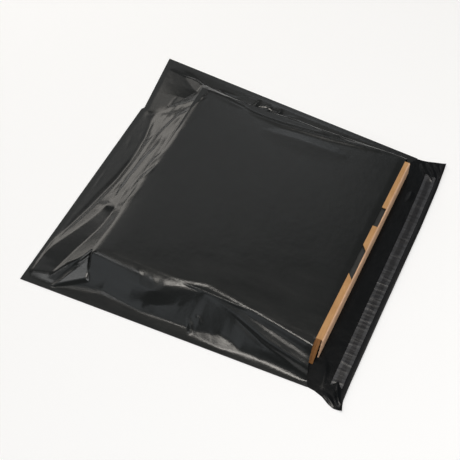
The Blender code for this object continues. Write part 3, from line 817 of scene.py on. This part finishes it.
class Nodes:
    """Short hand for building a material's nodes."""

    def __init__(self, name):
        self.material = bpy.data.materials.new(name)
        self.material.use_nodes = True
        self.tree = self.material.node_tree
        self.shader = self.tree.nodes["Principled BSDF"]

    def add(self, kind, **values):
        node = self.tree.nodes.new(kind)
        for key, value in values.items():
            if key in node.inputs:
                node.inputs[key].default_value = value
            else:
                setattr(node, key, value)
        return node

    def link(self, source, target):
        self.tree.links.new(source, target)

    def noise(self, vector, scale, detail=4.0, roughness=0.55):
        node = self.add("ShaderNodeTexNoise", Scale=scale, Detail=detail, Roughness=roughness)
        self.link(vector, node.inputs["Vector"])
        return node.outputs["Fac"]

    def ramp(self, value, stops):
        node = self.add("ShaderNodeValToRGB")
        ramp = node.color_ramp
        while len(ramp.elements) < len(stops):
            ramp.elements.new(0.5)
        for element, (place, colour) in zip(ramp.elements, stops):
            element.position = place
            element.color = (*colour, 1) if len(colour) == 3 else colour
        self.link(value, node.inputs["Fac"])
        return node.outputs["Color"]

    def math(self, operation, a, b=None):
        node = self.add("ShaderNodeMath", operation=operation)
        for socket, value in zip(node.inputs, (a, b)):
            if value is None:
                continue
            if isinstance(value, (int, float)):
                socket.default_value = value
            else:
                self.link(value, socket)
        return node.outputs["Value"]

    def stretched(self, scale):
        place = self.add("ShaderNodeTexCoord")
        mapping = self.add("ShaderNodeMapping")
        mapping.inputs["Scale"].default_value = scale
        self.link(place.outputs["Object"], mapping.inputs["Vector"])
        return mapping.outputs["Vector"]

    def bump(self, height, strength, distance, normal=None):
        node = self.add("ShaderNodeBump", Strength=strength, Distance=distance)
        self.link(height, node.inputs["Height"])
        if normal is not None:
            self.link(normal, node.inputs["Normal"])
        return node.outputs["Normal"]


TONE_SPREAD = 0.14


def grey(value):
    """A grey of one value."""
    return (value, value, value)


def film_material(name, tint, roughness, level, glints):
    """Black polyethylene film: dark, with a soft sheen, faint stretch lines and fine puckers."""
    make = Nodes(name)
    place = make.stretched((1, 1, 1))
    drawn = make.stretched((0.25, 1.0, 1.0))
    mottle = make.noise(place, scale=38.0, detail=3.0)
    darker = tuple(c * (1 - TONE_SPREAD) for c in tint)
    lighter = tuple(c * (1 + TONE_SPREAD) for c in tint)
    make.link(make.ramp(mottle, ((0.3, darker), (0.7, lighter))), make.shader.inputs["Base Color"])
    haze = make.noise(drawn, scale=60.0, detail=5.0)
    smooth = grey(roughness * (1 - TONE_SPREAD))
    hazy = grey(roughness * (1 + TONE_SPREAD))
    make.link(make.ramp(haze, ((0.25, smooth), (0.75, hazy))), make.shader.inputs["Roughness"])
    make.shader.inputs["Specular IOR Level"].default_value = level
    puckers = make.noise(place, scale=120.0, detail=3.0, roughness=0.5)
    lines = make.noise(drawn, scale=260.0, detail=2.0, roughness=0.5)
    first = make.bump(puckers, strength=0.22 * glints, distance=0.0016)
    both = make.bump(lines, strength=0.10 * glints, distance=0.0005, normal=first)
    make.link(both, make.shader.inputs["Normal"])
    return make.material


def liner_material():
    """Frosted clear film over dark adhesive: two paler edges, a mottled middle, and ticks across it."""
    make = Nodes("release_liner")
    uv = make.add("ShaderNodeTexCoord").outputs["UV"]
    apart = make.add("ShaderNodeSeparateXYZ")
    make.link(uv, apart.inputs["Vector"])
    off_middle = make.math("ABSOLUTE", make.math("SUBTRACT", apart.outputs["X"], 0.5))
    place = make.stretched((1, 1, 1))
    wobble = make.math("MULTIPLY", make.math("SUBTRACT", make.noise(place, scale=90.0), 0.5), 0.10)
    tones = ((0.0, (0.007, 0.007, 0.009)), (0.18, (0.009, 0.009, 0.011)), (0.25, (0.032, 0.033, 0.036)),
             (0.45, (0.038, 0.039, 0.043)), (0.50, (0.020, 0.020, 0.024)))
    band = make.ramp(make.math("ADD", off_middle, wobble), tones)
    across = make.stretched((0.12, 1.0, 1.0))
    ticks = make.ramp(make.noise(across, scale=420.0, detail=4.0, roughness=0.7),
                      ((0.36, grey(0.25)), (0.50, grey(0.8)), (0.64, grey(1.3))))
    mix = make.add("ShaderNodeMix", data_type="RGBA", blend_type="MULTIPLY")
    mix.inputs[0].default_value = 0.9
    make.link(band, mix.inputs[6])
    make.link(ticks, mix.inputs[7])
    make.link(mix.outputs[2], make.shader.inputs["Base Color"])
    make.shader.inputs["Roughness"].default_value = 0.32
    ridges = make.noise(across, scale=240.0, detail=3.0, roughness=0.6)
    make.link(make.bump(ridges, strength=0.22, distance=0.0008), make.shader.inputs["Normal"])
    return make.material


def adhesive_material():
    """Dull dark adhesive with a slightly lumpy face."""
    make = Nodes("adhesive")
    place = make.stretched((1, 1, 1))
    lumps = make.noise(place, scale=160.0)
    make.link(make.ramp(lumps, ((0.3, (0.035, 0.035, 0.037)), (0.7, (0.06, 0.06, 0.063)))),
              make.shader.inputs["Base Color"])
    make.shader.inputs["Roughness"].default_value = 0.5
    grain = make.noise(place, scale=420.0)
    make.link(make.bump(grain, strength=0.4, distance=0.0006), make.shader.inputs["Normal"])
    return make.material


def kraft_material(name, light, dark, flute_axis):
    """Brown corrugated board: fibres, blotches, and flutes that show faintly through its facing."""
    make = Nodes(name)
    place = make.stretched((1, 1, 1))
    fibres = make.noise(make.stretched((1.0, 0.18, 1.0)), scale=420.0, detail=6.0, roughness=0.7)
    blotch = make.noise(place, scale=46.0, detail=3.0)
    tone = make.math("ADD", make.math("MULTIPLY", fibres, 0.6), make.math("MULTIPLY", blotch, 0.4))
    make.link(make.ramp(tone, ((0.32, dark), (0.68, light))), make.shader.inputs["Base Color"])
    make.shader.inputs["Roughness"].default_value = 0.82
    wave = make.add("ShaderNodeTexWave", bands_direction=flute_axis, Scale=105.0, Distortion=0.6)
    wave.inputs["Detail Scale"].default_value = 2.0
    make.link(place, wave.inputs["Vector"])
    flutes = make.bump(wave.outputs["Fac"], strength=0.35, distance=0.0008)
    both = make.bump(fibres, strength=0.25, distance=0.0004, normal=flutes)
    make.link(both, make.shader.inputs["Normal"])
    return make.material


def slot_shade_material():
    """A dark block deep under the carton's slots, its dark colour painted shade of the carton's inside."""
    make = Nodes("painted_slot_shade")
    place = make.stretched((1, 1, 1))
    blotch = make.noise(place, scale=90.0)
    make.link(make.ramp(blotch, ((0.3, (0.020, 0.021, 0.020)), (0.7, (0.032, 0.033, 0.032)))),
              make.shader.inputs["Base Color"])
    make.shader.inputs["Roughness"].default_value = 0.6
    return make.material


def floor_material(lift):
    """A white table, which takes the object's shadow and shows white to the camera and in gloss."""
    make = Nodes("white_floor")
    make.shader.inputs["Base Color"].default_value = (0.80, 0.80, 0.80, 1)
    make.shader.inputs["Roughness"].default_value = 0.9
    make.shader.inputs["Specular IOR Level"].default_value = 0.0
    path = make.add("ShaderNodeLightPath")
    seen = make.math("MAXIMUM", path.outputs["Is Camera Ray"],
                     make.math("MAXIMUM", path.outputs["Is Glossy Ray"], path.outputs["Is Transmission Ray"]))
    make.shader.inputs["Emission Color"].default_value = (1, 1, 1, 1)
    away = make.add("ShaderNodeVectorMath", operation="LENGTH")
    make.link(make.add("ShaderNodeNewGeometry").outputs["Position"], away.inputs[0])
    fade = make.add("ShaderNodeMapRange")
    fade.inputs["From Min"].default_value, fade.inputs["From Max"].default_value = FLOOR_FADE
    fade.inputs["To Min"].default_value = lift
    fade.inputs["To Max"].default_value = FAR_FLOOR_LIFT
    make.link(away.outputs["Value"], fade.inputs["Value"])
    make.link(make.math("MULTIPLY", seen, fade.outputs["Result"]), make.shader.inputs["Emission Strength"])
    return make.material


# STAGE AND LIGHT

# Floor's width, its own glow under and far from the object, the distances in metres between which it grows,
# and the strength of the even light all round
FLOOR_SIZE = 12000.0
FLOOR_LIFT = 0.235
FAR_FLOOR_LIFT = 0.85
FLOOR_FADE = (0.6, 2.6)
WORLD_LIGHT = 0.16


def make_floor():
    half = FLOOR_SIZE / 2 * MM
    mesh = bpy.data.meshes.new("floor")
    corners = [(-half, -half, 0), (half, -half, 0), (half, half, 0), (-half, half, 0)]
    mesh.from_pydata(corners, [], [(0, 1, 2, 3)])
    floor = bpy.data.objects.new("floor", mesh)
    bpy.context.collection.objects.link(floor)
    mesh.materials.append(floor_material(FLOOR_LIFT))


def make_world():
    """Even grey light all round, and a white background behind the floor."""
    world = bpy.data.worlds.new("world")
    bpy.context.scene.world = world
    world.use_nodes = True
    tree = world.node_tree
    back = tree.nodes["Background"]
    back.inputs["Color"].default_value = (1, 1, 1, 1)
    path = tree.nodes.new("ShaderNodeLightPath")
    strength = tree.nodes.new("ShaderNodeMapRange")
    strength.inputs["To Min"].default_value = WORLD_LIGHT
    strength.inputs["To Max"].default_value = 1.0
    tree.links.new(path.outputs["Is Camera Ray"], strength.inputs["Value"])
    tree.links.new(strength.outputs["Result"], back.inputs["Strength"])


def softbox(name, direction, distance, width, height, radiance, colour):
    """A softbox that faces the bag, given by the radiance of its face."""
    data = bpy.data.lights.new(name, "AREA")
    data.shape = "RECTANGLE"
    data.size = width
    data.size_y = height
    data.energy = radiance * math.pi * width * height
    data.color = colour
    lamp = bpy.data.objects.new(name, data)
    outward = Vector(direction).normalized()
    lamp.location = outward * distance
    lamp.rotation_euler = (-outward).to_track_quat("-Z", "Y").to_euler()
    bpy.context.collection.objects.link(lamp)


WARM = (1.0, 0.95, 0.88)
COOL = (0.90, 0.95, 1.0)
PLAIN = (1.0, 1.0, 1.0)

# Name, direction from the object, distance, width, height, radiance and colour
LAMPS = (
    ("far_left_softbox", (-0.82, 0.43, 0.33), 1.6, 0.8, 0.6, 2.5, WARM),
    ("left_fill_softbox", (-0.66, 0.48, 0.57), 1.7, 0.5, 0.4, 1.0, WARM),
    ("overhead_softbox", (-0.05, 0.10, 0.99), 3.0, 1.05, 0.5, 15.0, WARM),
    ("left_overhead_softbox", (-0.450, -0.044, 0.893), 3.07, 0.45, 0.6, 4.0, PLAIN),
    ("back_softbox", (-0.41, 0.52, 0.75), 2.53, 1.75, 1.0, 0.47, PLAIN),
    ("far_softbox", (-0.12, 0.86, 0.48), 1.8, 1.2, 0.3, 0.3, WARM),
    ("near_softbox", (-0.418, -0.589, 0.692), 2.25, 0.95, 1.3, 0.72, COOL),
    ("near_core_softbox", (-0.289, -0.261, 0.921), 2.27, 0.8, 0.4, 0.5, COOL),
    ("far_glow_softbox", (-0.189, 0.727, 0.669), 2.5, 0.5, 0.28, 1.3, COOL),
    ("right_softbox", (0.62, -0.35, 0.70), 2.5, 2.0, 2.0, 2.6, PLAIN),
)

make_floor()
make_world()
for lamp in LAMPS:
    softbox(*lamp)

# DRESSING


def dress(piece, node, material):
    """Gives a piece its finish and its place on the frame, and hides the imported part of the node that it
    stands for.
    """
    piece.data.materials.append(material)
    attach(piece, "root")
    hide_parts(node)


outer_film = film_material("outer_film", tint=(0.0062, 0.0072, 0.0070), roughness=0.22, level=0.5, glints=0.45)
inner_film = film_material("inner_film", tint=(0.0022, 0.0028, 0.0034), roughness=0.22, level=0.24, glints=0.6)
dress(front_film(), "bag_film", outer_film)
dress(back_film(), "bag_film", inner_film)
adhesive = strip_on_lip("adhesive_band", ADHESIVE_WIDTH, LINER_NEAR_Y + ADHESIVE_INSET,
                        LINER_FAR_Y - ADHESIVE_INSET, ADHESIVE_THICK, ADHESIVE_RIDE)
dress(adhesive, "adhesive_strip", adhesive_material())
liner = strip_on_lip("liner_tape", LINER_WIDTH, LINER_NEAR_Y, LINER_FAR_Y, LINER_SHEET, LINER_RIDE,
                     LINER_NOTCH, liner_ripples())
dress(liner, "release_liner", liner_material())

lid_kraft = kraft_material("kraft_lid", light=(0.56, 0.310, 0.132), dark=(0.41, 0.210, 0.076), flute_axis="Y")
# The end wall takes a lighter, paler copy of the lid's kraft: painted light on the wall.
lit_wall_kraft = kraft_material("kraft_wall_painted_light", light=(0.68, 0.430, 0.270), dark=(0.52, 0.310, 0.185), flute_axis="Y")
# The side walls, base and back take a much darker copy of the lid's kraft: painted shade on the leaning side
# walls.
shaded_side_kraft = kraft_material("kraft_side_painted_shade", light=(0.30, 0.130, 0.036), dark=(0.19, 0.075, 0.018), flute_axis="X")
dress(mesh_object("carton_lid", [carton_top_board()], LID_BEVEL), "carton", lid_kraft)
dress(mesh_object("carton_end_wall", [carton_end_wall()], WALL_BEVEL), "carton", lit_wall_kraft)
sides = [carton_side(near=True), carton_side(near=False), *carton_floor_and_back()]
dress(mesh_object("carton_sides", sides, WALL_BEVEL), "carton", shaded_side_kraft)
# A dark block inside the carton, seen through the lid's slots: its dark colour is painted shade.
slot_shade_parts = block(CARTON_START_X + SHADE_BLOCK_FROM_START, CARTON_END_X - BOARD - SHADE_BLOCK_FROM_WALL,
              CARTON_NEAR_Y + SHADE_BLOCK_FROM_SIDES, CARTON_FAR_Y - SHADE_BLOCK_FROM_SIDES,
              CARTON_BASE + BOARD + SHADE_BLOCK_ABOVE_BASE, CARTON_TOP - SLOT_DEPTH)
dress(mesh_object("slot_shade_block", [slot_shade_parts], SHADE_BLOCK_BEVEL), "carton", slot_shade_material())

bpy.context.scene.view_settings.view_transform = "Standard"
